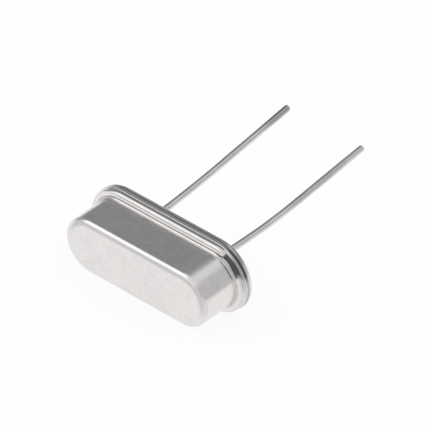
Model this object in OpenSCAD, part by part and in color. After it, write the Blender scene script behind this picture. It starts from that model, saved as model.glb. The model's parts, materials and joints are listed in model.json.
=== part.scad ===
// Quartz crystal unit: a flat oval metal can welded by its flange to a base
// with two glass-sealed wire leads, and a quartz strip held in two spring clips.
// Each piece is built standing: seat at z = 0, can above it, leads below it.
// The whole unit is then laid down on the edge of its flange and of its can.

/* [Can cover] */
// Length of the can over its round ends
can_length = 10.15; // [9.8:0.05:10.6]
// Width of the can across its flat sides
can_width = 3.5; // [3.3:0.05:4]
// Height from the seat to the flat end of the can
total_height = 3.35; // [3.25:0.05:4.2]
// Radius round the edge of the flat end
can_edge_r = 0.24; // [0.16:0.02:0.34]
// Thickness of the can's side wall
wall_t = 0.22; // [0.16:0.01:0.28]
// Thickness of the can's flat end
end_t = 0.22; // [0.16:0.01:0.28]
// Radius inside the can where the wall meets the flat end
punch_r = 0.12; // [0.05:0.01:0.2]
// Fillet between the wall and the flange
fillet_r = 0.07; // [0.05:0.01:0.1]
// Height of each of the two pressed steps on the flange
step_h = 0.04; // [0.02:0.01:0.06]
// Distance from the wall to the edge of the inner, higher step
upper_reach = 0.11; // [0.1:0.01:0.16]
// Distance from the wall to the edge of the outer, lower step
step_reach = 0.26; // [0.2:0.01:0.28]
// Thickness of the cover's flange at its ledge
ledge_t = 0.28; // [0.22:0.01:0.34]
// How far the cover's flange stands out from the wall
cover_overhang = 0.43; // [0.4:0.01:0.45]
// Rounding of the cover's flange edge
ledge_r = 0.12; // [0.06:0.01:0.14]
// Flare at the mouth of the can, inside
mouth_r = 0.28; // [0.2:0.01:0.32]

/* [Base header] */
// Thickness of the base's flange
base_flange_t = 0.55; // [0.45:0.01:0.7]
// How far the base's flange stands out from the can's wall
base_overhang = 0.47; // [0.46:0.01:0.55]
// Rounding of the base's upper edge
base_top_r = 0.08; // [0.04:0.01:0.12]
// Rounding of the base's lower edge
base_foot_r = 0.24; // [0.08:0.01:0.26]
// Height of the raised middle above the flange
plateau_h = 0.4; // [0.3:0.01:0.42]
// Rounding of the raised middle
plateau_r = 0.1; // [0.05:0.01:0.15]
// Gap between the raised middle and the can's wall
plateau_gap = 0.08; // [0.05:0.01:0.15]

/* [Glass seals] */
// Diameter of a seal's hole in the base
seal_d = 1.4; // [1.1:0.05:1.6]
// Depth of the glass below the face of the base, at both ends
seal_recess = 0.04; // [0.02:0.01:0.08]
// Sag of the glass between the lead and the base
seal_sag = 0.06; // [0.02:0.01:0.1]
// Rounding of the hole's mouth in the seat face
seal_mouth = 0.03; // [0.01:0.01:0.04]

/* [Leads] */
// Distance between the two leads
lead_pitch = 4.88; // [4.7:0.02:5]
// Diameter of a lead
lead_d = 0.4; // [0.35:0.01:0.5]
// Length of the left lead from the seat, along the wire
left_length = 12.6; // [10:0.1:14]
// Length of the right lead from the seat, along the wire
right_length = 12.8; // [10:0.1:14]
// Straight stub between the seat and the first bend
lead_exit = 0.2; // [0.15:0.05:0.5]
// Radius of the first bend on the wire's centre line
bend_r = 1; // [0.6:0.1:2]
// How much the wire's diameter thins in a bend
bend_thinning = 0.004; // [0.002:0.001:0.008]
// Distance along the wire from the seat to the slow bend
slow_bend_start = 2; // [1.6:0.1:2.5]
// Length of the slow bend along the wire
slow_bend_length = 5; // [2:0.5:6]
// Lean of the left lead after its first bend, in degrees
left_first_lean = 2.4; // [1:0.1:2.5]
// Lean of the left lead at its tip, in degrees
left_lean = 4.9; // [3:0.1:6]
// Lean of the right lead after its first bend, in degrees
right_first_lean = -1.6; // [-2.5:0.1:-1]
// Lean of the right lead at its tip, in degrees
right_lean = 3.7; // [3:0.1:6]
// Direction in which both leads lean, in degrees from +X about the can's axis
lean_direction = 138; // [0:1:359]
// Rounding of a lead's cut ends
lead_tip_r = 0.05; // [0.02:0.01:0.1]
// Height of a lead's inner end above the base
lead_post_h = 0.14; // [0.1:0.01:0.2]

/* [Spring clips] */
// Thickness of the clip strip
clip_t = 0.1; // [0.06:0.01:0.14]
// Width of the clip strip
clip_w = 1; // [0.8:0.05:1.2]
// Inside bend radius of the clip
clip_bend_r = 0.1; // [0.05:0.01:0.15]
// Overlap of the clip's foot past the lead's axis
clip_heel = 0.32; // [0.25:0.01:0.5]
// Height of the prongs above the lower edge of the blank
prong_h = 1.1; // [0.8:0.05:1.3]
// Gap between the blank and the foot of the clip
blank_rise = 0.08; // [0.04:0.01:0.12]
// Gap between a prong and the electrode film
slot_gap = 0.01; // [0.005:0.005:0.03]

/* [Quartz blank] */
// Length of the quartz strip
blank_length = 8; // [7.4:0.1:8.4]
// Height of the quartz strip as it stands
blank_height = 1.6; // [1.4:0.05:1.7]
// Thickness of the quartz strip
blank_t = 0.22; // [0.15:0.01:0.3]
// Length by which the strip passes the clips
blank_past_clip = 0.2; // [0.1:0.02:0.26]
// Length of the electrode's pad
pad_length = 4; // [2.5:0.1:5.5]
// Height of the electrode's pad
pad_height = 1.1; // [0.8:0.05:1.3]
// Height of the electrode's tail
tail_height = 0.5; // [0.3:0.05:0.7]
// Thickness of the electrode film, drawn thicker than it is
film_t = 0.015; // [0.01:0.005:0.03]

/* [Conductive bonds] */
// Radius of the drop that bonds the strip to its clip
bond_r = 0.38; // [0.32:0.01:0.44]

/* [Hidden] */
$fn = 96;

can_straight = can_length - can_width;
can_half = can_width / 2;
cavity_half = can_half - wall_t;
cavity_top = total_height - end_t;
seam_z = base_flange_t;
ledge_z = seam_z + ledge_t;
upper_step_z = ledge_z + 2 * step_h;
plateau_top = seam_z + plateau_h;
plateau_half = cavity_half - plateau_gap;
seal_r = seal_d / 2;
lead_r = lead_d / 2;
bend_wire_r = lead_r - bend_thinning / 2;
bend_lap = 0.02;
bend_facets = 8;
post_top = plateau_top + lead_post_h;
foot_top = post_top + clip_t;
blank_bottom = foot_top + blank_rise;
prong_top = blank_bottom + prong_h;
clip_face_x = blank_length / 2 - blank_past_clip;
slot_w = blank_t + 2 * (film_t + slot_gap);
bond_z = blank_bottom + prong_h / 2;
cut = 0.5;

metal = [0.79, 0.78, 0.77];
wire_metal = [0.66, 0.66, 0.66];
glass_tint = [0.16, 0.2, 0.24];
quartz_tint = [0.88, 0.93, 0.95];
silver_film = [0.9, 0.9, 0.88];
clip_metal = [0.74, 0.7, 0.6];
bond_grey = [0.55, 0.55, 0.56];

// ---- Rest pose ----
// Seen along X, the unit touches the floor with two round edges: the can's end
// edge and the edge of a flange. Each is a circle at [y, z] with radius r.
can_edge = [-(can_half - can_edge_r), total_height - can_edge_r, can_edge_r];
cover_edge = [-(can_half + cover_overhang - ledge_r), ledge_z - ledge_r, ledge_r];
base_edge = [-(can_half + base_overhang - base_top_r), seam_z - base_top_r, base_top_r];

// Tilt at which the can's edge and the given flange edge touch one level line
function tilt_on(edge) =
    let (out = can_edge[0] - edge[0], along = can_edge[1] - edge[1])
    acos((can_edge[2] - edge[2]) / norm([out, along])) - atan2(along, out);

rest_tilt = max(tilt_on(cover_edge), tilt_on(base_edge));
rest_height = can_edge[2] - can_edge[0] * cos(rest_tilt) + can_edge[1] * sin(rest_tilt);

// Each lead goes a stub, a first bend, a short run, a slow bend and a last run.
// A stretch of it moves the wire's end by [sideways, down].
function bend_move(radius, from, to) =
    (to > from ? radius : -radius) * [cos(from) - cos(to), sin(to) - sin(from)];
function run_move(run, lean) = run * [sin(lean), cos(lean)];
function first_run(first_lean) =
    slow_bend_start - lead_exit - bend_r * abs(first_lean) * PI / 180;
function slow_bend_r(first_lean, lean) =
    slow_bend_length / ((lean - first_lean) * PI / 180);
function last_run(length) = length - slow_bend_start - slow_bend_length;
function lead_tip(length, first_lean, lean) =
    let (move = [0, lead_exit]
                + bend_move(bend_r, 0, first_lean)
                + run_move(first_run(first_lean), first_lean)
                + bend_move(slow_bend_r(first_lean, lean), first_lean, lean)
                + run_move(last_run(length), lean))
    [move[0] * cos(lean_direction), move[0] * sin(lean_direction), -move[1]];

// The box's ends along Y: the can's upper end edge, and the tips of the leads
function laid_y(p) = -p[1] * sin(rest_tilt) - p[2] * cos(rest_tilt);
can_end_y = laid_y([0, -can_edge[0], can_edge[1]]) - can_edge_r;
lead_end_y = max(laid_y(lead_tip(left_length, left_first_lean, left_lean)),
                 laid_y(lead_tip(right_length, right_first_lean, right_lean)));
rest_shift = -(can_end_y + lead_end_y) / 2;

// Lays a standing piece down, leads towards +Y and flat side up
module laid_down() {
    translate([0, rest_shift, rest_height])
        rotate([90 + rest_tilt, 0, 0])
            children();
}

// ---- Shared shapes ----
// Sweeps a half profile (x = distance from the middle, y = height) round the
// oval: a half turn at each end, and a straight run between them.
module oval_sweep(straight) {
    for (side = [-1, 1])
        translate([side * straight / 2, 0, 0])
            rotate([0, 0, -90 * side])
                rotate_extrude(angle = 180)
                    children();
    rotate([90, 0, 90])
        linear_extrude(height = straight, center = true) {
            children();
            mirror([1, 0]) children();
        }
}

// Half profile of a plate with a rounded top edge
module rounded_top(half, bottom, top, r) {
    translate([0, bottom]) square([half, top - r - bottom]);
    translate([0, bottom]) square([half - r, top - bottom]);
    translate([half - r, top - r]) circle(r);
}

// ---- Can cover ----
module cover_outside() {
    rounded_top(can_half, seam_z, total_height, can_edge_r);
    rounded_top(can_half + cover_overhang, seam_z, ledge_z, ledge_r);
    translate([0, seam_z]) square([can_half + step_reach, ledge_t + step_h]);
    translate([0, seam_z]) square([can_half + upper_reach, ledge_t + 2 * step_h]);
    translate([can_half, upper_step_z])
        difference() {
            square(fillet_r);
            translate([fillet_r, fillet_r]) circle(fillet_r);
        }
}

module cover_inside() {
    rounded_top(cavity_half, seam_z - cut, cavity_top, punch_r);
    translate([cavity_half, seam_z - cut])
        difference() {
            square([mouth_r, mouth_r + cut]);
            translate([mouth_r, mouth_r + cut]) circle(mouth_r);
        }
}

module can_cover() {
    color(metal)
        laid_down()
            difference() {
                oval_sweep(can_straight) cover_outside();
                oval_sweep(can_straight) cover_inside();
            }
}

// ---- Base header ----
module base_section() {
    base_half = can_half + base_overhang;
    translate([0, base_foot_r])
        square([base_half, seam_z - base_top_r - base_foot_r]);
    square([base_half - base_foot_r, seam_z - base_top_r]);
    translate([base_half - base_foot_r, base_foot_r]) circle(base_foot_r);
    rounded_top(base_half, base_foot_r, seam_z, base_top_r);
    rounded_top(plateau_half, 0, plateau_top, plateau_r);
}

module seal_hole() {
    translate([0, 0, -cut]) cylinder(h = plateau_top + 2 * cut, r = seal_r);
    translate([0, 0, -cut]) cylinder(h = cut, r = seal_r + seal_mouth);
    cylinder(h = seal_mouth, r1 = seal_r + seal_mouth, r2 = seal_r);
}

module base_header() {
    color(metal)
        laid_down()
            difference() {
                oval_sweep(can_straight) base_section();
                for (side = [-1, 1])
                    translate([side * lead_pitch / 2, 0, 0]) seal_hole();
            }
}

// ---- Glass seals ----
// Ring of glass round the lead, sagging to a hollow at both ends
module glass_seal(side) {
    ring_w = seal_r - lead_r;
    sag_half = 0.42 * ring_w;
    sag_r = (sag_half * sag_half + seal_sag * seal_sag) / (2 * seal_sag);
    low = seal_recess;
    high = plateau_top - seal_recess;
    color(glass_tint)
        laid_down()
            translate([side * lead_pitch / 2, 0, 0])
                rotate_extrude()
                    difference() {
                        translate([lead_r, low]) square([ring_w, high - low]);
                        for (centre = [low + seal_sag - sag_r, high - seal_sag + sag_r])
                            translate([lead_r + ring_w / 2, centre]) circle(sag_r);
                    }
}

// ---- Leads ----
// Each stretch of wire starts downwards at the origin, and its children start
// where it ends. A bend with a positive turn goes towards +X. It is a little
// thinner than the wire and reaches into the straight stretches at both ends.
module wire_bend(radius, turn) {
    heading = turn < 0 ? 180 : 0;
    angle = abs(turn);
    lap = bend_lap / radius * 180 / PI;
    sweep = angle + 2 * lap;
    rotate([0, 0, heading]) {
        translate([radius, 0, 0])
            rotate([90, 180, 0])
                rotate([0, 0, -lap])
                    rotate_extrude(angle = sweep, $fn = bend_facets * 360 / sweep)
                        translate([radius, 0]) circle(bend_wire_r, $fn = 96);
        translate([radius * (1 - cos(angle)), 0, -radius * sin(angle)])
            rotate([0, -angle, 0])
                rotate([0, 0, -heading])
                    children();
    }
}

module wire_run(run) {
    translate([0, 0, -run]) {
        cylinder(h = run, r = lead_r);
        children();
    }
}

module wire_end(run) {
    rotate([180, 0, 0])
        rotate_extrude()
            rounded_top(lead_r, 0, run, lead_tip_r);
}

module lead(side, length, first_lean, lean) {
    color(wire_metal)
        laid_down()
            translate([side * lead_pitch / 2, 0, -lead_exit])
                rotate([0, 0, lean_direction]) {
                    rotate_extrude()
                        rounded_top(lead_r, 0, post_top + lead_exit, lead_tip_r);
                    wire_bend(bend_r, first_lean)
                        wire_run(first_run(first_lean))
                            wire_bend(slow_bend_r(first_lean, lean), lean - first_lean)
                                wire_end(last_run(length));
                }
}

// ---- Spring clips ----
// Side view of the strip: a foot on the lead's end, a bend, and a blade
module clip_side() {
    blade_x = clip_face_x - clip_t;
    bend_x = blade_x - clip_bend_r;
    outer_r = clip_bend_r + clip_t;
    heel_x = lead_pitch / 2 - clip_heel;
    translate([heel_x, post_top]) square([bend_x - heel_x, clip_t]);
    translate([blade_x, post_top + outer_r]) square([clip_t, prong_top - post_top - outer_r]);
    translate([bend_x, post_top + outer_r])
        intersection() {
            difference() {
                circle(outer_r);
                circle(clip_bend_r);
            }
            translate([0, -outer_r]) square(outer_r);
        }
}

module spring_clip(side) {
    color(clip_metal)
        laid_down()
            rotate([0, 0, side > 0 ? 0 : 180])
                difference() {
                    rotate([90, 0, 0])
                        linear_extrude(height = clip_w, center = true) clip_side();
                    translate([clip_face_x - clip_t - clip_bend_r, -slot_w / 2, blank_bottom])
                        cube([clip_t + clip_bend_r + cut, slot_w, prong_h + cut]);
                }
}

// ---- Quartz blank and electrodes ----
module blank_shape() {
    translate([-blank_length / 2, -blank_t / 2, blank_bottom])
        cube([blank_length, blank_t, blank_height]);
}

// Silver film on one face: a pad in the middle and a tail out to one clip.
// face = -1 is the front film with its tail to the left, +1 the back one.
module film_shape(face) {
    middle_z = blank_bottom + blank_height / 2;
    low_y = face > 0 ? blank_t / 2 : -blank_t / 2 - film_t;
    translate([-pad_length / 2, low_y, middle_z - pad_height / 2])
        cube([pad_length, film_t, pad_height]);
    translate([face > 0 ? 0 : -blank_length / 2, low_y, bond_z - tail_height / 2])
        cube([blank_length / 2, film_t, tail_height]);
}

module quartz_blank() {
    color(quartz_tint)
        laid_down()
            blank_shape();
}

module electrode(face) {
    color(silver_film)
        laid_down()
            film_shape(face);
}

// ---- Conductive bonds ----
// Drop on the outer face of the clip, round the end of the strip
module bond(side) {
    color(bond_grey)
        laid_down()
            difference() {
                rotate([0, 0, side > 0 ? 0 : 180])
                    translate([clip_face_x, 0, bond_z])
                        intersection() {
                            sphere(bond_r);
                            translate([0, -bond_r - cut, -bond_r - cut])
                                cube([bond_r + cut, 2 * (bond_r + cut), 2 * (bond_r + cut)]);
                        }
                blank_shape();
                film_shape(side);
            }
}

can_cover();
base_header();
glass_seal(-1);  // glass_seal_left
glass_seal(1);  // glass_seal_right
lead(-1, left_length, left_first_lean, left_lean);  // lead_left
lead(1, right_length, right_first_lean, right_lean);  // lead_right
spring_clip(-1);  // spring_clip_left
spring_clip(1);  // spring_clip_right
quartz_blank();
electrode(-1);  // electrode_front
electrode(1);  // electrode_back
bond(-1);  // bond_left
bond(1);  // bond_right
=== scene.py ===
import json
import math
import bmesh
import bpy
import numpy as np
from mathutils import Matrix, Vector


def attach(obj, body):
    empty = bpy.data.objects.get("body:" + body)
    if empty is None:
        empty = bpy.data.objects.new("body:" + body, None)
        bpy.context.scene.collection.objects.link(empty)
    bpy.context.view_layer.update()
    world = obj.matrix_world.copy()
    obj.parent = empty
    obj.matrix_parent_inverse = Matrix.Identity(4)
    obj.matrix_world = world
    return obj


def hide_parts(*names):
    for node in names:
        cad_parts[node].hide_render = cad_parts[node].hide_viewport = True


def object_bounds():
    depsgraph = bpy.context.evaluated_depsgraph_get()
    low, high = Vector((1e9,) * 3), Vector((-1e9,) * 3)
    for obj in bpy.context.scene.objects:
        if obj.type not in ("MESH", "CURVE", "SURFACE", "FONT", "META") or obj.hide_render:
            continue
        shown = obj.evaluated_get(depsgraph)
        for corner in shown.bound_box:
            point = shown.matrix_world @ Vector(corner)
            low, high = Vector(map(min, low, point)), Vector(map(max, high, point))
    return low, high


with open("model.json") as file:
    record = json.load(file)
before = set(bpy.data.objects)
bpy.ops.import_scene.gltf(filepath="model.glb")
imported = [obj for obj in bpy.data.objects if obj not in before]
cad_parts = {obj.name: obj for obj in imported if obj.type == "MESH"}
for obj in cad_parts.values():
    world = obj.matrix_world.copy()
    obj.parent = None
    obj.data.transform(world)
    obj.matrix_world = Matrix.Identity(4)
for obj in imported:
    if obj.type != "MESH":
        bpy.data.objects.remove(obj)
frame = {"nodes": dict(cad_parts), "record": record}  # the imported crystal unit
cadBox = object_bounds()
scene = bpy.context.scene
print("frame loaded:", len(frame["nodes"]), "nodes")

# The unit is worked out standing on its seat, in mm: z up the can, leads below z = 0,
# x along the can. The record's seat mount says where that frame lies when laid down.
seatMount = next(m for m in frame["record"]["mounts"] if m["name"] == "seat")
seatSpot = np.array(seatMount["pos_m"])
canAxis = -np.array(seatMount["axis"]) / np.linalg.norm(seatMount["axis"])
longAxis = np.array((1.0, 0.0, 0.0))
flatAxis = np.cross(canAxis, longAxis)  # out of the flat side that faces up
standing = np.stack((longAxis, flatAxis, canAxis))
layAngle = math.atan2(flatAxis[2], flatAxis[1])
mm = 0.001

# How finely shapes are cut, in mm: the step along a straight, the degrees per step round
# an arc, the shortest straight that gets points of its own, how far past an arc the
# first of them lies, how near two points are one, and how near a line a point is on it.
# weldGap is in metres.
meshing = {"stride": 0.2, "arcStep": 9.0, "shortStraight": 0.05, "besideArc": 0.012,
           "samePoint": 1e-5, "onLine": 1e-7, "weldGap": 2e-8}


def laidDown(points):
    # place = seat + 0.001 (x long axis + y flat axis + z can axis)
    return seatSpot + mm * np.asarray(points, float) @ standing


def roundedPath(corners):
    # An open path through (out, height, radius) corners. Each corner becomes the arc
    # that touches both sides, swung evenly from one touching point to the other, and
    # each straight gets a point just past its arcs and evenly spaced ones between.
    spots = np.array([c[:2] for c in corners], float)
    runs = [spots[:1]]
    for k in range(1, len(corners) - 1):
        here, radius = spots[k], corners[k][2]
        back, onward = spots[k - 1] - here, spots[k + 1] - here
        back, onward = back / np.linalg.norm(back), onward / np.linalg.norm(onward)
        halfAngle = math.acos(float(np.clip(back @ onward, -1, 1))) / 2
        middle = back + onward
        centre = here + middle / np.linalg.norm(middle) * radius / math.sin(halfAngle)
        first = here + back * radius / math.tan(halfAngle) - centre
        last = here + onward * radius / math.tan(halfAngle) - centre
        turn = math.pi - 2 * halfAngle
        arcSteps = max(2, math.ceil(math.degrees(turn) / meshing["arcStep"]))
        share = np.linspace(0, 1, arcSteps + 1)[:, None]
        runs.append(centre + (np.sin((1 - share) * turn) * first
                              + np.sin(share * turn) * last) / math.sin(turn))
    runs.append(spots[-1:])
    path = [runs[0]]
    for before, after in zip(runs, runs[1:]):
        gap = float(np.linalg.norm(after[0] - before[-1]))
        if gap > meshing["shortStraight"]:
            beside = meshing["besideArc"] / gap
            steps = np.linspace(0, 1, math.ceil(gap / meshing["stride"]) + 1)[1:-1]
            share = np.unique(np.concatenate(([beside, 1 - beside], steps)))[:, None]
            path.append(before[-1] * (1 - share) + after[0] * share)
        path.append(after)
    path = np.concatenate(path)
    apart = np.linalg.norm(np.diff(path, axis=0), axis=1) > meshing["samePoint"]
    return path[np.concatenate(([True], apart))]


def ovalSweep(path, straight, straightSteps, arcSteps):
    # point = (middle + out cos a, out sin a, height) for each path point and each step
    # round the oval: upper straight, half a turn, lower straight back, half a turn
    run = np.arange(straightSteps) / straightSteps
    swing = np.pi * np.arange(arcSteps) / arcSteps
    half = straight / 2
    middle = np.concatenate((-half + straight * run, np.full(arcSteps, half),
                             half - straight * run, np.full(arcSteps, -half)))
    angle = np.concatenate((np.full(straightSteps, np.pi / 2), np.pi / 2 - swing,
                            np.full(straightSteps, -np.pi / 2), -np.pi / 2 - swing))
    out, height = path[:, :1], path[:, 1:]
    return np.stack((middle + out * np.cos(angle), out * np.sin(angle),
                     height + 0 * middle), -1)


def turned(path, centre, steps):
    # point = (centre + out cos a, out sin a, height): the path carried round a full turn
    angle = 2 * np.pi * np.arange(steps) / steps
    out, height = path[:, :1], path[:, 1:]
    return np.stack((centre[0] + out * np.cos(angle), centre[1] + out * np.sin(angle),
                     height + 0 * angle), -1)


def gridFaces(rows, columns, wrapRows, wrapColumns):
    # quads between neighbouring rows and columns of a grid of point numbers
    number = np.arange(rows * columns).reshape(rows, columns)
    if wrapRows:
        number = np.vstack((number, number[:1]))
    if wrapColumns:
        number = np.hstack((number, number[:, :1]))
    return np.stack((number[:-1, :-1], number[:-1, 1:], number[1:, 1:], number[1:, :-1]),
                    -1).reshape(-1, 4)


def makePiece(name, grids, finish, standsFor):
    # Joins the grids at their shared points and turns every face outwards. With each
    # grid goes whether its rows and its columns close, and which faces to keep.
    points, faces, count = [], [], 0
    for grid, wrapRows, wrapColumns, keep in grids:
        rows, columns = grid.shape[:2]
        quads = gridFaces(rows, columns, wrapRows, wrapColumns)
        if keep is not None:
            quads = quads[keep(grid.reshape(-1, 3)[quads])]
        points.append(grid.reshape(-1, 3))
        faces.append(quads + count)
        count += rows * columns
    mesh = bpy.data.meshes.new(name)
    mesh.from_pydata(laidDown(np.concatenate(points)).tolist(), [],
                     np.concatenate(faces).tolist())
    built = bmesh.new()
    built.from_mesh(mesh)
    bmesh.ops.remove_doubles(built, verts=built.verts, dist=meshing["weldGap"])
    loose = [v for v in built.verts if not v.link_faces]
    bmesh.ops.delete(built, geom=loose, context="VERTS")
    bmesh.ops.recalc_face_normals(built, faces=built.faces)
    openEdges = sum(1 for e in built.edges if len(e.link_faces) != 2)
    built.to_mesh(mesh)
    built.free()
    mesh.polygons.foreach_set("use_smooth", np.ones(len(mesh.polygons), bool))
    mesh.materials.append(finish)
    piece = bpy.data.objects.new(name, mesh)
    scene.collection.objects.link(piece)
    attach(piece, "root")
    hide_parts(*standsFor)
    print("piece", name, len(mesh.polygons), "faces", openEdges, "open edges")
    return piece


class Flow:
    # Wraps one socket of a node tree. + - * and ** add a Math node, and make adds any
    # other node from its kind, its settings and its inputs.
    def __init__(self, tree, socket=None):
        self.tree, self.socket = tree, socket

    def make(self, kind, settings, inputs, output=0):
        node = self.tree.nodes.new("ShaderNode" + kind)
        for key, value in settings.items():
            setattr(node, key, value)
        for key, value in inputs.items():
            if isinstance(value, Flow):
                self.tree.links.new(value.socket, node.inputs[key])
            else:
                node.inputs[key].default_value = value
        return Flow(self.tree, node.outputs[output])

    def math(self, sign, first, second):
        return self.make("Math", {"operation": sign}, {0: first, 1: second})

    def __add__(self, other): return self.math("ADD", self, other)
    def __radd__(self, other): return self.math("ADD", other, self)
    def __sub__(self, other): return self.math("SUBTRACT", self, other)
    def __rsub__(self, other): return self.math("SUBTRACT", other, self)
    def __mul__(self, other): return self.math("MULTIPLY", self, other)
    def __rmul__(self, other): return self.math("MULTIPLY", other, self)
    def __pow__(self, other): return self.math("POWER", self, other)

    def limited(self):
        return self.math("MINIMUM", self, 1.0)

    def noise(self, scale, detail, roughness):
        return self.make("TexNoise", {}, {"Vector": self, "Scale": scale, "Detail": detail,
                                          "Roughness": roughness})

    def cells(self, scale):
        return self.make("TexVoronoi", {"feature": "F1"}, {"Vector": self, "Scale": scale})

    def stretched(self, sizes):
        return self.make("VectorMath", {"operation": "MULTIPLY"}, {0: self, 1: sizes})

    def band(self, low, high, fromLow=0.0, toHigh=1.0):
        # rises smoothly from fromLow at low to toHigh at high
        return self.make("MapRange", {"interpolation_type": "SMOOTHSTEP"},
                         {"Value": self, "From Min": low, "From Max": high,
                          "To Min": fromLow, "To Max": toHigh})

    def fading(self, low, high):
        # falls smoothly from 1 at low to 0 at high
        return self.band(low, high, 1.0, 0.0)

    def blend(self, first, second):
        # a colour between two, with this flow as the share of the second
        return self.make("Mix", {"data_type": "RGBA"}, {0: self, 6: first, 7: second}, 2)

    def parts(self):
        node = self.make("SeparateXYZ", {}, {0: self}).socket.node
        return [Flow(self.tree, out) for out in node.outputs]


def within(measures, tone):
    # The product of a tone's zones, each on the measure that it is named after. Two values
    # rise from the first to the second, or fall if the first is the higher, and four
    # rise over the first two and fall over the last two. A share scales the whole.
    masks = []
    for name, ends in tone.items():
        if name == "share":
            masks.append(ends)
        elif len(ends) == 4:
            masks += [measures[name].band(*ends[:2]), measures[name].fading(*ends[2:])]
        elif ends[0] < ends[1]:
            masks.append(measures[name].band(*ends))
        else:
            masks.append(measures[name].fading(*ends[::-1]))
    return math.prod(masks[1:], start=masks[0])


def nodeOf(tree, kind):
    # the first node of a kind
    return next(n for n in tree.nodes if n.type == kind)


def newMaterial(name):
    # a material with nodes, and its Principled shader
    finish = bpy.data.materials.new(name)
    finish.use_nodes = True
    return finish, nodeOf(finish.node_tree, "BSDF_PRINCIPLED")


def newFinish(name):
    # a material, its shader, and the standing place in mm as a flow
    finish, shader = newMaterial(name)
    place = Flow(finish.node_tree).make("TexCoord", {}, {}, "Object")
    place = place.make("Mapping", {"vector_type": "TEXTURE"},
                       {"Vector": place, "Location": tuple(seatSpot),
                        "Rotation": (layAngle, 0.0, 0.0), "Scale": (mm, mm, mm)})
    return finish, shader, place


def wire(shader, **flows):
    # links flows, or sets plain values, on the shader's own sockets
    for key, value in flows.items():
        socket = shader.inputs[key.replace("_", " ")]
        if isinstance(value, Flow):
            value.tree.links.new(value.socket, socket)
        else:
            socket.default_value = value


def raised(height, depth):
    # a bump from a height flow of 0 to 1, depth in metres
    return height.make("Bump", {}, {"Height": height, "Distance": depth, "Strength": 1.0})


def grey(level, warm=0.0):
    # (level (1 + warm), level, level (1 - warm))
    return (level * (1 + warm), level, level * (1 - warm), 1.0)


# The can cover. Shape in mm, then colours and grain, then where each tone lies: along
# the can, up its flat side, in height from the seat, past the straight part, out from
# the wall, and by swing round the right end or farSwing round the left, in radians from
# the end's upper corner. Noise is given as scale, detail and roughness.
can = {
    "length": 10.15, "width": 3.5, "top": 3.35, "endRound": 0.23, "dish": 0.012,
    "dishAt": 0.26, "dishRun": 0.07, "dishRound": 0.10, "wall": 0.22, "end": 0.22,
    "punchRound": 0.12, "mouthFlare": 0.28, "seam": 0.55, "seamRound": 0.02, "ledge": 0.83,
    "step": 0.04, "fillet": 0.07, "upperReach": 0.11, "flatRun": 0.05, "stepReach": 0.26,
    "overhang": 0.43, "ledgeRound": 0.15, "creaseRound": 0.004, "stepRound": 0.02,
    "straightSteps": 56, "arcSteps": 72,
    "pale": (0.827, 0.806, 0.794, 1.0), "dull": (0.746, 0.727, 0.716, 1.0),
    # The last three colours on the next line are painted shade: dark greys that stand in for shade
    # and dimmed reflections.
    "paintedShade": grey(0.45, 0.012), "shaded": grey(0.16), "paintedDarkPatch": grey(0.06, -0.01),
    "mottle": (1.1, 4.0, 0.6), "cloud": (4.5, 3.0, 0.6), "grain": (26.0, 2.0, 0.6),
    "streak": (1.0, 3.0, 0.6), "streakSizes": (9.0, 9.0, 0.5),
    "mottleRange": (0.3, 0.7), "cloudRange": (0.35, 0.65), "mottleShare": 0.6,
    "roughness": 0.17, "roughShade": 0.05, "roughGrain": 0.03, "roughStreak": 0.03,
    "burnished": 0.08, "roughCloud": 0.05,
    "grainDepth": 1.1e-6, "grainShare": 0.6, "streakDepth": 0.7e-6,
    "creaseSpots": (0.112, 0.262), "creaseDark": 0.008, "creaseFaded": 0.03,
    "rimLevel": 0.3, "rimDeeper": 0.6, "tipSwing": (1.1, 1.4), "tipDrop": 0.15,
    "endEdgeLevel": 0.55, "endEdgeTip": 0.25, "arcLineMove": 0.07,
    "arcLineSwing": (0.32, 0.45), "darkPatchShare": 0.92,
    "tones": {
        "onWall": {"height": (1.0, 1.2, 3.16, 3.3)},
        "onFlange": {"height": (1.03, 0.95)},
        "ring": {"out": (-0.5, -0.28, -0.21, -0.10), "height": (3.2, 3.28),
                 "up": (-0.9, 0.4), "along": (-4.8, -4.3), "share": 0.65},
        "fillet": {"pastEnd": (0.1, 0.8), "height": (1.02, 0.98), "out": (0.12, 0.07),
                   "share": 0.6},
        "filletGap": {"along": (0.0, 0.5), "swing": (1.1, 0.9), "out": (0.03, 0.0)},
        "wallFoot": {"height": (1.0, 1.1, 1.12, 1.23), "along": (-4.6, -3.8, 3.5, 3.85),
                     "share": 0.5},
        "farEdge": {"farSwing": (0.08, 0.35, 0.6, 0.85), "height": (3.25, 3.3),
                    "out": (-0.2, -0.14), "share": 0.6},
        "farReach": {"farSwing": (0.08, 0.35, 0.8, 1.05), "height": (1.02, 0.98),
                     "out": (0.05, 0.07, 0.14, 0.2), "share": 0.65},
        "lines": {"height": (0.96, 0.93), "up": (0.5, 1.4), "along": (-4.4, -3.2, 3.7, 4.3),
                  "share": 0.8},
        "rim": {"out": (0.30, 0.38), "height": (0.96, 0.93)},
        "rimCorner": {"swing": (0.45, 0.75, 1.25, 1.75)},
        "endEdge": {"tipHeight": (3.235, 3.285), "out": (-0.19, -0.12),
                    "swing": (0.5, 0.8, 1.65, 2.0)},
        "arcLine": {"movedOut": (0.105, 0.13, 0.16, 0.19), "swing": (0.12, 0.27, 0.45, 0.6),
                    "height": (0.96, 0.93)},
        "arc": {"out": (0.18, 0.21), "height": (0.66, 0.72, 0.93, 0.96),
                "swing": (0.38, 0.45, 0.98, 1.2)},
        "arcInside": {"out": (0.11, 0.13, 0.24, 0.26), "swing": (0.62, 0.86, 1.08, 1.2),
                      "height": (0.96, 0.93), "share": 0.7},
    },
}
canStraight = can["length"] - can["width"]


def endSwing(along, up, side):
    # the angle round one end: arctangent of the way past its centre over the way up
    return along.math("ARCTAN2", along * side - canStraight / 2, up)


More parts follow.
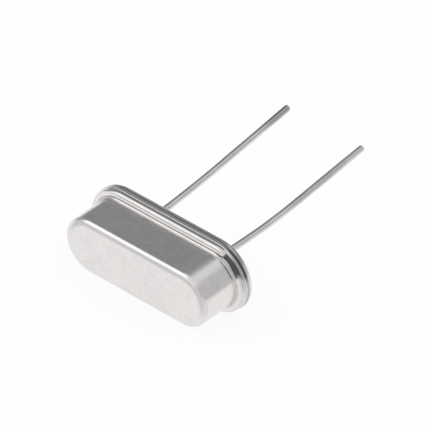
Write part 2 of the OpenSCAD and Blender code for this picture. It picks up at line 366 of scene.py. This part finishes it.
def canFinish():
    # Satin nickel: soft mottling, fine grain, draw streaks up the walls, and a flange
    # burnished by the weld tool. Painted shade, standing in for shade and dimmed reflections,
    # darkens a ring just inside the end's upper edge, the fillets, edges and rim at the rounded
    # ends, and the flange's rim. Painted shade also draws thin dark lines in the flange's
    # creases and at the wall's foot, and the darkest painted shade is a patch on one corner
    # of the flange: a line that leads into an arc with a fainter inside.
    finish, shader, place = newFinish("satinNickel")
    along, up, height = place.parts()
    pastEnd = along.math("ABSOLUTE", along, 0.0) - canStraight / 2
    pastEnd = pastEnd.math("MAXIMUM", pastEnd, 0.0)
    out = (pastEnd ** 2 + up ** 2) ** 0.5 - can["width"] / 2
    swing = endSwing(along, up, 1)
    tipWard = swing.band(*can["tipSwing"])
    measures = {"along": along, "up": up, "height": height, "pastEnd": pastEnd, "out": out,
                "swing": swing, "farSwing": endSwing(along, up, -1),
                "tipHeight": height + can["tipDrop"] * tipWard,
                "movedOut": out - can["arcLineMove"] * swing.band(*can["arcLineSwing"])}
    tone = {name: within(measures, zones) for name, zones in can["tones"].items()}
    dark, faded = can["creaseDark"], can["creaseFaded"]
    creases = sum(out.band(spot - faded, spot - dark) * out.fading(spot + dark, spot + faded)
                  for spot in can["creaseSpots"])
    fillet = tone["fillet"] * (1 - tone["filletGap"])
    rim = tone["rim"] * (can["rimLevel"] + can["rimDeeper"] * tone["rimCorner"])
    endEdge = tone["endEdge"] * (can["endEdgeLevel"] - can["endEdgeTip"] * tipWard)
    # Painted shade: the ring, fillets, end edges and rims, darkened to stand in for shade and
    # dimmed reflections.
    paintedShade = tone["ring"] + fillet + rim + endEdge + tone["farEdge"] + tone["farReach"]
    # Painted shade: thin dark lines in the flange's creases and a band at the wall's foot.
    shaded = creases * tone["lines"] + tone["wallFoot"]
    # Painted shade: the darkest patch, on one corner of the flange, standing in for shade.
    paintedDarkPatch = (tone["arcLine"] + tone["arc"] + tone["arcInside"]) * can["darkPatchShare"]
    mottle = place.noise(*can["mottle"])
    cloud = place.noise(*can["cloud"])
    grain = place.noise(*can["grain"])
    streak = place.stretched(can["streakSizes"]).noise(*can["streak"]) * tone["onWall"]
    shade = (mottle.band(*can["mottleRange"]) * can["mottleShare"]
             + cloud.band(*can["cloudRange"]) * (1 - can["mottleShare"]))
    satin = (can["roughness"] + can["roughShade"] * shade + can["roughGrain"] * grain
             + can["roughStreak"] * streak)
    burnished = can["burnished"] + can["roughCloud"] * cloud
    bump = raised(grain * can["grainShare"] + cloud * (1 - can["grainShare"]),
                  can["grainDepth"])
    drawn = raised(streak, can["streakDepth"])
    drawn.tree.links.new(bump.socket, drawn.socket.node.inputs["Normal"])
    colour = paintedShade.limited().blend(shade.blend(can["dull"], can["pale"]), can["paintedShade"])
    colour = shaded.blend(colour, can["shaded"])
    wire(shader, Base_Color=paintedDarkPatch.limited().blend(colour, can["paintedDarkPatch"]), Metallic=1.0,
         Roughness=satin * (1 - tone["onFlange"]) + tone["onFlange"] * burnished,
         Normal=drawn)
    return finish


def canPath():
    # From the middle of the cavity's roof, down inside, out along the seam, up over
    # the ledge, a slope, a small step and the wall, to the middle of the flat end.
    half, inner = can["width"] / 2, can["width"] / 2 - can["wall"]
    upper, middle = can["ledge"] + 2 * can["step"], can["ledge"] + can["step"]
    roof = can["top"] - can["end"]
    rim = half - can["dishAt"]
    return roundedPath([
        (0, roof, 0), (inner, roof, can["punchRound"]), (inner, can["seam"], can["mouthFlare"]),
        (half + can["overhang"], can["seam"], can["seamRound"]),
        (half + can["overhang"], can["ledge"], can["ledgeRound"]),
        (half + can["stepReach"], can["ledge"], can["creaseRound"]),
        (half + can["upperReach"] + can["flatRun"], middle, can["stepRound"]),
        (half + can["upperReach"], middle, can["creaseRound"]),
        (half + can["upperReach"], upper, can["stepRound"]),
        (half, upper, can["fillet"]), (half, can["top"], can["endRound"]),
        (rim, can["top"], can["dishRound"]),
        (rim - can["dishRun"], can["top"] - can["dish"], can["dishRound"]),
        (0, can["top"] - can["dish"], 0)])


canGrid = ovalSweep(canPath(), canStraight, can["straightSteps"], can["arcSteps"])
makePiece("can_cover_fine", [(canGrid, False, True, None)], canFinish(),
          ["can_cover"])

# The base header. Shape in mm, then colours and grain, then how the dark band of heat tint and
# painted shade lies.
# flatShort is how far a flat face's last point stays from the round beside it. The
# hole's mouths are eased: holeFoot has each point's way out and height, and holeTop its
# way out and its drop from the plateau.
base = {
    "flange": 0.55, "overhang": 0.47, "footRound": 0.24, "rimTop": 0.39, "rimRound": 0.03,
    "creaseIn": 0.06, "creaseAt": 0.43, "creaseRound": 0.012, "beadIn": 0.02,
    "beadAt": 0.47, "beadRound": 0.03, "plateauTop": 0.95, "plateauHalf": 1.45,
    "plateauFoot": 0.02, "plateauRound": 0.10, "flatShort": 0.02, "pitch": 4.88,
    "hole": 0.70, "holeFoot": ((0.03, 0.0), (0.008, 0.018), (0.0, 0.05)),
    "holeRows": (0.3, 0.6), "holeTop": ((0.0, 0.02), (0.006, 0.006), (0.02, 0.0)),
    "straightSteps": 40, "arcSteps": 84, "crossSteps": 36, "flatSteps": 11,
    # The last colour on the next line is the dark band, partly heat tint and partly painted shade.
    "pale": grey(0.80, 0.012), "dull": grey(0.70, 0.015), "tintAndShade": (0.105, 0.10, 0.095, 1.0),
    "mottle": (1.6, 4.0, 0.6), "mottleRange": (0.3, 0.7), "grain": (20.0, 3.0, 0.6),
    "edging": (1.0, 3.0, 0.6), "edgingSizes": (1.4, 1.4, 12.0), "grainDepth": 1.2e-6,
    "grainShare": 0.5, "roughness": 0.18, "roughMottle": 0.06, "roughGrain": 0.04,
    "cornerRise": 0.045, "farRise": 0.06, "tintLevel": 0.66, "tintUneven": 0.3,
    "cornerShade": 0.3, "farFade": 0.6, "nearFade": 0.4,
    "tones": {
        "corner": {"swing": (0.2, 0.55, 1.15, 1.5)},
        "nearEnd": {"swing": (1.1, 1.35, 2.2, 2.6)},
        "farEnd": {"farSwing": (0.1, 0.45, 1.2, 1.5)},
        "spread": {"swing": (0.2, 0.5, 0.75, 1.0), "height": (0.04, 0.26, 0.38, 0.44),
                   "share": 0.4},
    },
    "darkBand": {"risen": (0.23, 0.38, 0.45, 0.51)},
}


def baseFinish():
    # Nickel over the stamped base, with a dark band that deepens up the rim to the crease
    # and ends at the bead above it: partly heat tint, partly painted shade in the crease. As
    # painted shade it stands higher and darker and spreads lower at one corner, and it fades
    # round both ends.
    finish, shader, place = newFinish("platedBase")
    along, up, height = place.parts()
    measures = {"height": height, "swing": endSwing(along, up, 1),
                "farSwing": endSwing(along, up, -1)}
    tone = {name: within(measures, zones) for name, zones in base["tones"].items()}
    risen = height - base["cornerRise"] * tone["corner"] - base["farRise"] * tone["farEnd"]
    darkBand = within({"risen": risen}, base["darkBand"])
    mottle = place.noise(*base["mottle"])
    grain = place.noise(*base["grain"])
    edging = place.stretched(base["edgingSizes"]).noise(*base["edging"])
    depth = (base["tintLevel"] + base["tintUneven"] * edging
             + base["cornerShade"] * tone["corner"])
    ends = 1 - base["farFade"] * tone["farEnd"] - base["nearFade"] * tone["nearEnd"]
    # Heat tint and painted shade up the rim; the corner's extra depth and spread are painted shade.
    seam = darkBand * depth * ends + tone["spread"] * (1 - darkBand)
    plain = mottle.band(*base["mottleRange"]).blend(base["dull"], base["pale"])
    wire(shader, Base_Color=seam.limited().blend(plain, base["tintAndShade"]), Metallic=1.0,
         Roughness=(base["roughness"] + base["roughMottle"] * mottle
                    + base["roughGrain"] * grain),
         Normal=raised(grain * base["grainShare"] + edging * (1 - base["grainShare"]),
                       base["grainDepth"]))
    return finish


def halfOval(out, straight, straightSteps, arcSteps, crossSteps):
    # The right half of an oval at each distance out, closed down its middle line:
    # upper straight, half a turn, lower straight, then up the middle line.
    run = np.arange(straightSteps) / straightSteps
    swing = np.pi * np.arange(arcSteps) / arcSteps
    cross = np.arange(crossSteps) / crossSteps
    half = straight / 2
    still = np.zeros(crossSteps)
    middle = np.concatenate((half * run, np.full(arcSteps, half), half * (1 - run), still))
    alongX = np.concatenate((0 * run, np.sin(swing), 0 * run, still))
    alongY = np.concatenate((1 + 0 * run, np.cos(swing), -1 + 0 * run, 2 * cross - 1))
    out = np.atleast_1d(out)[:, None]
    return middle + out * alongX, out * alongY


def baseGrid():
    # Loops round the right hole, from its wall out across the seat face, up the rim,
    # in over a crease and a bead, across the flange, up the plateau and in to the hole.
    half = can["width"] / 2 + base["overhang"]
    side = roundedPath([
        (half - base["footRound"] - base["flatShort"], 0, 0), (half, 0, base["footRound"]),
        (half, base["rimTop"], base["rimRound"]),
        (half - base["creaseIn"], base["creaseAt"], base["creaseRound"]),
        (half - base["beadIn"], base["beadAt"], base["beadRound"]),
        (half - base["beadIn"], base["flange"], base["beadRound"]),
        (base["plateauHalf"], base["flange"], base["plateauFoot"]),
        (base["plateauHalf"], base["plateauTop"], base["plateauRound"]),
        (base["plateauHalf"] - base["plateauRound"] - base["flatShort"],
         base["plateauTop"], 0)])
    sideX, sideY = halfOval(side[:, 0], canStraight, base["straightSteps"],
                            base["arcSteps"], base["crossSteps"])
    rim = np.stack((sideX, sideY, side[:, 1:] + 0 * sideX), -1)
    holeX = base["pitch"] / 2
    angle = np.arctan2(sideY[0], sideX[0] - holeX)
    radius, top = base["hole"], base["plateauTop"]
    hole = np.array([(radius + out, top - drop) for out, drop in base["holeTop"][::-1]]
                    + [(radius, height) for height in base["holeRows"][::-1]]
                    + [(radius + out, height) for out, height in base["holeFoot"][::-1]])
    wall = np.stack((holeX + hole[:, :1] * np.cos(angle), hole[:, :1] * np.sin(angle),
                     hole[:, 1:] + 0 * angle), -1)
    share = np.linspace(0, 1, base["flatSteps"] + 1)[1:-1, None, None]
    seatFace = wall[-1] * (1 - share) + rim[0] * share
    plateau = rim[-1] * (1 - share) + wall[0] * share
    return np.concatenate((wall, seatFace, rim, plateau))


def offMiddle(corners):
    # keeps a face unless all four of its corners lie on the middle line
    return np.abs(corners[:, :, 0]).max(axis=1) > meshing["onLine"]


rightHalf = baseGrid()
leftHalf = rightHalf * np.array((-1.0, 1.0, 1.0))
makePiece("base_header_fine",
          [(rightHalf, True, True, offMiddle), (leftHalf, True, True, offMiddle)],
          baseFinish(), ["base_header"])

# The glass seals, shape in mm.
seal = {
    "low": 0.04, "high": 0.91, "sag": 0.06, "sagPower": 1.3, "climb": 0.018,
    "climbPower": 9, "leadRadius": 0.20, "faceSteps": 32, "wallSteps": 7, "around": 96,
    "deep": (0.012, 0.022, 0.028, 1.0), "milky": (0.05, 0.075, 0.085, 1.0),
    "flow": (3.0, 4.0, 0.6), "flowRange": (0.35, 0.75), "bubbles": 9.0,
    "bubbleEdge": (0.10, 0.16), "bubbleSink": 0.6, "bubbleDepth": 3e-6, "roughness": 0.08,
    "roughFlow": 0.08, "coat": 0.6, "coatRoughness": 0.04, "lightBend": 1.52,
}


def sealFinish():
    # Dark sealing glass with a few small bubbles and a slightly milky flow pattern.
    finish, shader, place = newFinish("sealGlass")
    flowLines = place.noise(*seal["flow"])
    bubble = place.cells(seal["bubbles"]).fading(*seal["bubbleEdge"])
    wire(shader, Base_Color=flowLines.band(*seal["flowRange"]).blend(seal["deep"],
                                                                     seal["milky"]),
         Roughness=seal["roughness"] + seal["roughFlow"] * flowLines,
         Normal=raised(1 - bubble * seal["bubbleSink"], seal["bubbleDepth"]),
         Coat_Weight=seal["coat"], Coat_Roughness=seal["coatRoughness"],
         IOR=seal["lightBend"])
    return finish


def sealPath():
    # Closed ring section. Each end sags as (1 - u u) to the sag's power, where u runs
    # from -1 at the lead to 1 at the hole, and climbs a little at both.
    inner, outer = seal["leadRadius"], base["hole"]
    u = np.linspace(-1, 1, seal["faceSteps"] + 1)
    out = inner + (outer - inner) * (u + 1) / 2
    sink = (seal["sag"] * np.maximum(1 - u * u, 0) ** seal["sagPower"]
            - seal["climb"] * np.abs(u) ** seal["climbPower"])
    low = np.stack((out, seal["low"] + sink), -1)
    high = np.stack((out, seal["high"] - sink), -1)[::-1]
    rise = np.linspace(0, 1, seal["wallSteps"] + 1)[1:-1, None]
    outerWall = low[-1] * (1 - rise) + high[0] * rise
    innerWall = high[-1] * (1 - rise) + low[0] * rise
    return np.concatenate((low, outerWall, high, innerWall))


sealGlass = sealFinish()
for side, label in ((-1, "left"), (1, "right")):
    sealGrid = turned(sealPath(), (side * base["pitch"] / 2, 0), seal["around"])
    makePiece("glass_seal_" + label + "_fine", [(sealGrid, True, True, None)],
              sealGlass, ["glass_seal_" + label])

# The leads. Shape in mm and degrees, each wire's own values, then the finish.
lead = {
    "radius": 0.20, "post": 1.09, "exit": 0.2, "bend": 1.0, "slowStart": 2.0,
    "slowLength": 5.0, "leanTowards": 138.0, "tipRound": 0.05, "tipRings": 7,
    "coat": 0.006, "coatWaves": (2.3, 0.9), "coatStart": 0.5, "stations": 170,
    "around": 48,
    "left": {"side": -1, "length": 12.6, "firstLean": 2.4, "lean": 4.9, "phase": 0.4},
    "right": {"side": 1, "length": 12.8, "firstLean": -1.6, "lean": 3.7, "phase": 2.1},
    "pale": grey(0.76), "dull": grey(0.64), "tarnish": grey(0.38), "tarnishShare": 0.8,
    "coating": (1.0, 3.0, 0.55), "coatingSizes": (3.0, 3.0, 0.8),
    "coatingRange": (0.3, 0.7), "drawn": (1.0, 2.0, 0.5), "drawnSizes": (30.0, 30.0, 0.7),
    "speck": (16.0, 2.0, 0.6), "coatDepth": 2.0e-6, "drawnShare": 0.5, "roughness": 0.11,
    "roughCoat": 0.10, "roughSpeck": 0.05, "roughRubbed": 0.16,
    "tones": {
        "dullTip": {"along": (0.5, -0.5), "height": (-9.4, -11.6)},
        "dullRun": {"along": (-0.5, 0.5), "height": (-11.6, -9.6, -7.2, -5.6),
                    "share": 0.4},
        "rubbed": {"along": (-0.5, 0.5), "height": (-7.0, -9.0)},
    },
}


def leadFinish():
    # Tinned wire: drawn lines along it under a slightly uneven solder coat, duller
    # towards the left wire's tip and over a stretch of the right wire, and rougher over
    # the right wire's outer half.
    finish, shader, place = newFinish("tinnedWire")
    along, _, height = place.parts()
    tone = {name: within({"along": along, "height": height}, zones)
            for name, zones in lead["tones"].items()}
    coating = place.stretched(lead["coatingSizes"]).noise(*lead["coating"])
    drawnLines = place.stretched(lead["drawnSizes"]).noise(*lead["drawn"])
    speck = place.noise(*lead["speck"])
    plain = coating.band(*lead["coatingRange"]).blend(lead["dull"], lead["pale"])
    tarnished = (tone["dullTip"] + tone["dullRun"]) * lead["tarnishShare"]
    wire(shader, Base_Color=tarnished.blend(plain, lead["tarnish"]), Metallic=1.0,
         Roughness=(lead["roughness"] + lead["roughCoat"] * coating
                    + lead["roughSpeck"] * speck + lead["roughRubbed"] * tone["rubbed"]),
         Normal=raised(drawnLines * lead["drawnShare"] + coating * (1 - lead["drawnShare"]),
                       lead["coatDepth"]))
    return finish


def leadGrid(own):
    # The wire leans by an angle that changes evenly between knots along it: upright, a
    # sharp bend, straight, a slow bend, straight. Its middle line is the running sum of
    # the lean's sine sideways and cosine downwards. Rings stand square to it, and their
    # radius swells and thins by the coat's thickness.
    first, last = math.radians(own["firstLean"]), math.radians(own["lean"])
    total = lead["post"] + own["length"]
    knots = np.array((0, lead["post"] + lead["exit"],
                      lead["post"] + lead["exit"] + lead["bend"] * abs(first),
                      lead["post"] + lead["slowStart"],
                      lead["post"] + lead["slowStart"] + lead["slowLength"], total))
    tip = lead["tipRound"] * (1 - np.cos(np.linspace(0, np.pi / 2, lead["tipRings"])))
    even = np.linspace(lead["tipRound"], total - lead["tipRound"], lead["stations"])
    s = np.unique(np.round(np.concatenate((tip, even, knots, total - tip)), 4))
    turn = np.interp(s, knots, (0, 0, first, first, last, last))
    middleTurn, stride = (turn[1:] + turn[:-1]) / 2, np.diff(s)
    sideways = np.concatenate(([0], np.cumsum(np.sin(middleTurn) * stride)))
    height = lead["post"] - np.concatenate(([0], np.cumsum(np.cos(middleTurn) * stride)))
    fromEnd = np.minimum(s, total - s)
    shrink = lead["tipRound"] - np.sqrt(np.maximum(
        lead["tipRound"] ** 2 - np.maximum(lead["tipRound"] - fromEnd, 0) ** 2, 0))
    quick, slow = lead["coatWaves"]
    swell = lead["coat"] * (np.sin(quick * s + own["phase"]) * np.sin(slow * s) - 1) / 2
    outside = np.clip((s - knots[1]) / lead["coatStart"], 0, 1)
    radius = np.pad(lead["radius"] - shrink + swell * outside, 1)  # closes both cut ends
    sideways, height, turn = (np.pad(line, 1, mode="edge") for line in (sideways, height, turn))
    angle = 2 * np.pi * np.arange(lead["around"]) / lead["around"]
    inPlane, across = radius[:, None] * np.cos(angle), radius[:, None] * np.sin(angle)
    along = sideways[:, None] + inPlane * np.cos(turn)[:, None]
    up = height[:, None] + inPlane * np.sin(turn)[:, None]
    bearing = math.radians(lead["leanTowards"])
    startX = own["side"] * base["pitch"] / 2
    return np.stack((startX + along * math.cos(bearing) - across * math.sin(bearing),
                     along * math.sin(bearing) + across * math.cos(bearing), up), -1)


tinnedWire = leadFinish()
for label in ("left", "right"):
    makePiece("lead_" + label + "_fine", [(leadGrid(lead[label]), False, True, None)],
              tinnedWire, ["lead_" + label])

# The carried-over nodes inside the can: spring clips, quartz strip, silver films and
# adhesive drops, each with its own finish.
clip = {"pale": (0.72, 0.66, 0.52, 1.0), "dull": (0.56, 0.50, 0.38, 1.0),
        "rolled": (1.0, 3.0, 0.6), "rolledSizes": (1.5, 42.0, 1.5), "depth": 1.5e-6,
        "mottle": (2.2, 3.0, 0.6), "mottleRange": (0.3, 0.7), "roughness": 0.26,
        "roughRolled": 0.08}


def clipFinish():
    # Rolled nickel silver strip with fine lines across its width.
    finish, shader, place = newFinish("rolledStrip")
    rolled = place.stretched(clip["rolledSizes"]).noise(*clip["rolled"])
    mottle = place.noise(*clip["mottle"]).band(*clip["mottleRange"])
    wire(shader, Base_Color=mottle.blend(clip["dull"], clip["pale"]), Metallic=1.0,
         Roughness=clip["roughness"] + clip["roughRolled"] * rolled,
         Normal=raised(rolled, clip["depth"]))
    return finish


quartz = {"clear": (0.93, 0.96, 0.97, 1.0), "frosted": (0.80, 0.85, 0.87, 1.0),
          "etched": (34.0, 3.0, 0.6), "depth": 0.6e-6, "haze": (1.4, 3.0, 0.5),
          "hazeRange": (0.3, 0.7), "hazeShare": 0.5, "endsSquared": (9.0, 15.0),
          "endsShare": 0.5, "roughness": 0.16, "roughEtched": 0.10, "roughEnds": 0.12,
          "passing": 0.85, "lightBend": 1.54}


def quartzFinish():
    # Lapped quartz: a clear plate with a fine etched haze, duller towards its ends,
    # which are told by the square of the distance along the can.
    finish, shader, place = newFinish("lappedQuartz")
    etched = place.noise(*quartz["etched"])
    haze = place.noise(*quartz["haze"]).band(*quartz["hazeRange"])
    along = place.parts()[0]
    ends = (along * along).band(*quartz["endsSquared"])
    share = haze * quartz["hazeShare"] + ends * quartz["endsShare"]
    wire(shader, Base_Color=share.blend(quartz["clear"], quartz["frosted"]),
         Roughness=(quartz["roughness"] + quartz["roughEtched"] * etched
                    + quartz["roughEnds"] * ends),
         Transmission_Weight=quartz["passing"], IOR=quartz["lightBend"],
         Normal=raised(etched, quartz["depth"]))
    return finish


film = {"pale": (0.93, 0.92, 0.88, 1.0), "dull": (0.82, 0.80, 0.74, 1.0),
        "haze": (1.2, 4.0, 0.6), "hazeRange": (0.35, 0.7), "lapped": (34.0, 3.0, 0.6),
        "depth": 0.5e-6, "roughness": 0.10, "roughLapped": 0.10}


def filmFinish():
    # Evaporated silver, following the lapped quartz under it, with a faint yellowing.
    finish, shader, place = newFinish("silverFilm")
    haze = place.noise(*film["haze"]).band(*film["hazeRange"])
    lapped = place.noise(*film["lapped"])
    wire(shader, Base_Color=haze.blend(film["pale"], film["dull"]), Metallic=1.0,
         Roughness=film["roughness"] + film["roughLapped"] * lapped,
         Normal=raised(lapped, film["depth"]))
    return finish


bond = {"flake": (0.72, 0.71, 0.69, 1.0), "resin": (0.36, 0.35, 0.33, 1.0),
        "flakes": 24.0, "flakeEdge": (0.12, 0.42), "metal": (0.2, 0.8, 0.35, 0.9),
        "lumps": (5.0, 4.0, 0.6), "lumpShare": 0.7, "depth": 9e-6, "roughness": 0.42,
        "roughLumps": 0.15, "flakeShine": 0.12}


def bondFinish():
    # Silver-filled epoxy: bright flakes in a greyer resin, with a lumpy skin.
    finish, shader, place = newFinish("silverEpoxy")
    bright = place.cells(bond["flakes"]).fading(*bond["flakeEdge"])
    lumps = place.noise(*bond["lumps"])
    wire(shader, Base_Color=bright.blend(bond["resin"], bond["flake"]),
         Metallic=bright.band(*bond["metal"]),
         Roughness=(bond["roughness"] + bond["roughLumps"] * lumps
                    - bond["flakeShine"] * bright),
         Normal=raised(lumps * bond["lumpShare"] + bright * (1 - bond["lumpShare"]),
                       bond["depth"]))
    return finish


inside = {"spring_clip_left": clipFinish(), "quartz_blank": quartzFinish(),
          "electrode_front": filmFinish(), "bond_left": bondFinish()}
inside["spring_clip_right"] = inside["spring_clip_left"]
inside["electrode_back"] = inside["electrode_front"]
inside["bond_right"] = inside["bond_left"]
for nodeName, finish in inside.items():
    node = frame["nodes"][nodeName]
    if not node.material_slots:
        node.data.materials.append(None)
    for holder in node.material_slots:
        holder.link = "OBJECT"
        holder.material = finish
print("inner pieces finished:", len(inside))

# Floor, light tent and lamps, in metres. Panels and lamps are placed by turn and rise
# in degrees from the unit: turn 0 is towards -Y and 90 towards +X. A panel has half
# widths, softness of its border, brightness and blueness.
studio = {
    "floorHalf": 0.48, "floorShade": 0.90, "floorRoughness": 0.9, "ownWhite": 0.90,
    "fillStrength": 0.85, "domeRadius": 0.46, "roof": 0.86, "turnStep": 2.0,
    "riseFrom": -3, "riseRows": 63,
    "panels": {
        "right": {"turn": 98, "rise": 24, "half": (58, 30), "soft": 12, "level": 0.60},
        "backLeft": {"turn": -124, "rise": 29, "half": (50, 37), "soft": 5, "level": 0.285,
                     "blue": 0.05},
        "left": {"turn": -88, "rise": 8, "half": (28, 18), "soft": 10, "level": 0.45},
        "back": {"turn": 180, "rise": 34, "half": (30, 18), "soft": 8, "level": 0.30},
        "key": {"turn": -36, "rise": 29, "half": (20, 27), "soft": 10, "level": 1.35},
    },
    "lamps": {
        "keyLamp": {"turn": -52, "rise": 48, "far": 0.40, "size": 0.24, "watts": 0.22},
        "topLamp": {"turn": 100, "rise": 74, "far": 0.42, "size": 0.22, "watts": 0.12},
    },
}


def towards(turn, rise):
    # (sin a cos e, -cos a cos e, sin e) for a turn a and a rise e in degrees
    a, e = np.radians(turn), np.radians(rise)
    return np.stack((np.sin(a) * np.cos(e), -np.cos(a) * np.cos(e), np.sin(e)), -1)


def seenRays(flow):
    # 1 where a camera, glossy or transmission ray looks, else 0
    path = flow.make("LightPath", {}, {}).socket.node
    camera, glossy, passed = (Flow(flow.tree, path.outputs[n])
                              for n in ("Is Camera Ray", "Is Glossy Ray", "Is Transmission Ray"))
    return (camera + glossy + passed).limited()


def floorFinish():
    # Pale matt paper. Part of what is seen of it is its own white, and the rest is
    # lit, so that it keeps the unit's shadow.
    finish, shader = newMaterial("palePaper")
    tree = finish.node_tree
    wire(shader, Base_Color=grey(studio["floorShade"]), Roughness=studio["floorRoughness"],
         Specular_IOR_Level=0.0)
    flow = Flow(tree)
    white = flow.make("Emission", {}, {"Color": grey(1.0), "Strength": 1.0})
    seen = seenRays(flow) * studio["ownWhite"]
    mixed = flow.make("MixShader", {}, {0: seen, 1: Flow(tree, shader.outputs[0]), 2: white})
    tree.links.new(mixed.socket, nodeOf(tree, "OUTPUT_MATERIAL").inputs["Surface"])
    return finish


def stagePiece(name, grid, wrapColumns, finish):
    # a grid as a mesh that belongs to the stage
    mesh = bpy.data.meshes.new(name)
    rows, columns = grid.shape[:2]
    mesh.from_pydata(grid.reshape(-1, 3).tolist(), [],
                     gridFaces(rows, columns, False, wrapColumns).tolist())
    mesh.materials.append(finish)
    piece = bpy.data.objects.new(name, mesh)
    scene.collection.objects.link(piece)
    return piece


edge = np.linspace(-studio["floorHalf"], studio["floorHalf"], 3)
floorX, floorY = np.meshgrid(edge, edge)
stagePiece("floor", np.stack((floorX, floorY, 0 * floorX), -1), False, floorFinish())


def tentShade(turn, rise):
    # Starts at the roof's brightness and lets each panel cover its own part, with a
    # border that fades smoothly over its softness, as t t (3 - 2 t).
    shade = np.full(turn.shape + (3,), studio["roof"])

    def fade(depth, soft):
        t = np.clip(depth / soft + 0.5, 0, 1)
        return t * t * (3 - 2 * t)

    for panel in studio["panels"].values():
        across = np.abs((turn - panel["turn"] + 180) % 360 - 180)
        up = np.abs(rise - panel["rise"])
        cover = (fade(panel["half"][0] - across, panel["soft"])
                 * fade(panel["half"][1] - up, panel["soft"]))[..., None]
        blue = panel.get("blue", 0)
        shade = shade * (1 - cover) + panel["level"] * cover * np.array((1 - blue / 2, 1, 1 + blue))
    return shade


def tentFinish():
    # glows with the shade that is kept on the tent's own points
    finish = bpy.data.materials.new("tentCloth")
    finish.use_nodes = True
    tree = finish.node_tree
    tree.nodes.clear()
    flow = Flow(tree)
    shade = flow.make("Attribute", {"attribute_name": "shade"}, {}, "Color")
    glow = flow.make("Emission", {}, {"Color": shade, "Strength": 1.0})
    output = tree.nodes.new("ShaderNodeOutputMaterial")
    tree.links.new(glow.socket, output.inputs["Surface"])
    return finish


def makeTent():
    # point = radius times the direction of each turn and rise, seen only in reflections
    turn, rise = np.meshgrid(np.arange(0, 360, studio["turnStep"]),
                             np.linspace(studio["riseFrom"], 90, studio["riseRows"]))
    grid = studio["domeRadius"] * towards(turn, rise)
    tent = stagePiece("tent", grid, True, tentFinish())
    shade = np.pad(tentShade(turn, rise).reshape(-1, 3), ((0, 0), (0, 1)), constant_values=1)
    colours = tent.data.attributes.new("shade", "FLOAT_COLOR", "POINT")
    colours.data.foreach_set("color", shade.astype(np.float32).reshape(-1))
    tent.data.polygons.foreach_set("use_smooth", np.ones(len(tent.data.polygons), bool))
    tent.visible_camera = tent.visible_diffuse = tent.visible_shadow = False
    return tent


makeTent()


def makeWorld():
    # white where it is seen, and a plain fill where it lights
    world = bpy.data.worlds.new("surround")
    scene.world = world
    world.use_nodes = True
    tree = world.node_tree
    background = nodeOf(tree, "BACKGROUND")
    background.inputs["Color"].default_value = grey(1.0)
    seen = seenRays(Flow(tree))
    strength = seen + (1 - seen) * studio["fillStrength"]
    tree.links.new(strength.socket, background.inputs["Strength"])


makeWorld()

middleSpot = (cadBox[0] + cadBox[1]) / 2
for name, lamp in studio["lamps"].items():
    light = bpy.data.lights.new(name, "AREA")
    light.shape, light.size, light.energy = "SQUARE", lamp["size"], lamp["watts"]
    holder = bpy.data.objects.new(name, light)
    away = Vector(towards(lamp["turn"], lamp["rise"]))
    holder.location = middleSpot + away * lamp["far"]
    holder.rotation_mode = "QUATERNION"
    holder.rotation_quaternion = away.to_track_quat("Z", "Y")
    holder.visible_glossy = False
    scene.collection.objects.link(holder)
print("studio ready:", len(studio["panels"]), "panels,", len(studio["lamps"]), "lamps")

# The camera: turn, rise and roll in degrees, the rest in metres but for lens and sensor.
view = {"turn": 37.652, "rise": 30.204, "roll": 7.434, "far": 0.31653, "lens": 490.46,
        "sensor": 36.0, "nearest": 0.02, "farthest": 3.0,
        "fromSeat": (0.000954, 0.001875, 0.001549)}


def makeCamera():
    # looks at a spot near the seat from far away, level but for its roll
    turn, roll = math.radians(view["turn"]), math.radians(view["roll"])
    away = Vector(towards(view["turn"], view["rise"]))
    level = Vector((math.cos(turn), math.sin(turn), 0.0))
    upright = away.cross(level)
    right = level * math.cos(roll) + upright * math.sin(roll)
    up = upright * math.cos(roll) - level * math.sin(roll)
    camera = bpy.data.objects.new("camera", bpy.data.cameras.new("camera"))
    camera.data.lens, camera.data.sensor_width = view["lens"], view["sensor"]
    camera.data.clip_start, camera.data.clip_end = view["nearest"], view["farthest"]
    aim = Vector(seatSpot + np.array(view["fromSeat"]))
    camera.matrix_world = (Matrix.Translation(aim + away * view["far"])
                           @ Matrix((right, up, away)).transposed().to_4x4())
    scene.collection.objects.link(camera)
    scene.camera = camera


makeCamera()
scene.view_settings.view_transform = "Standard"
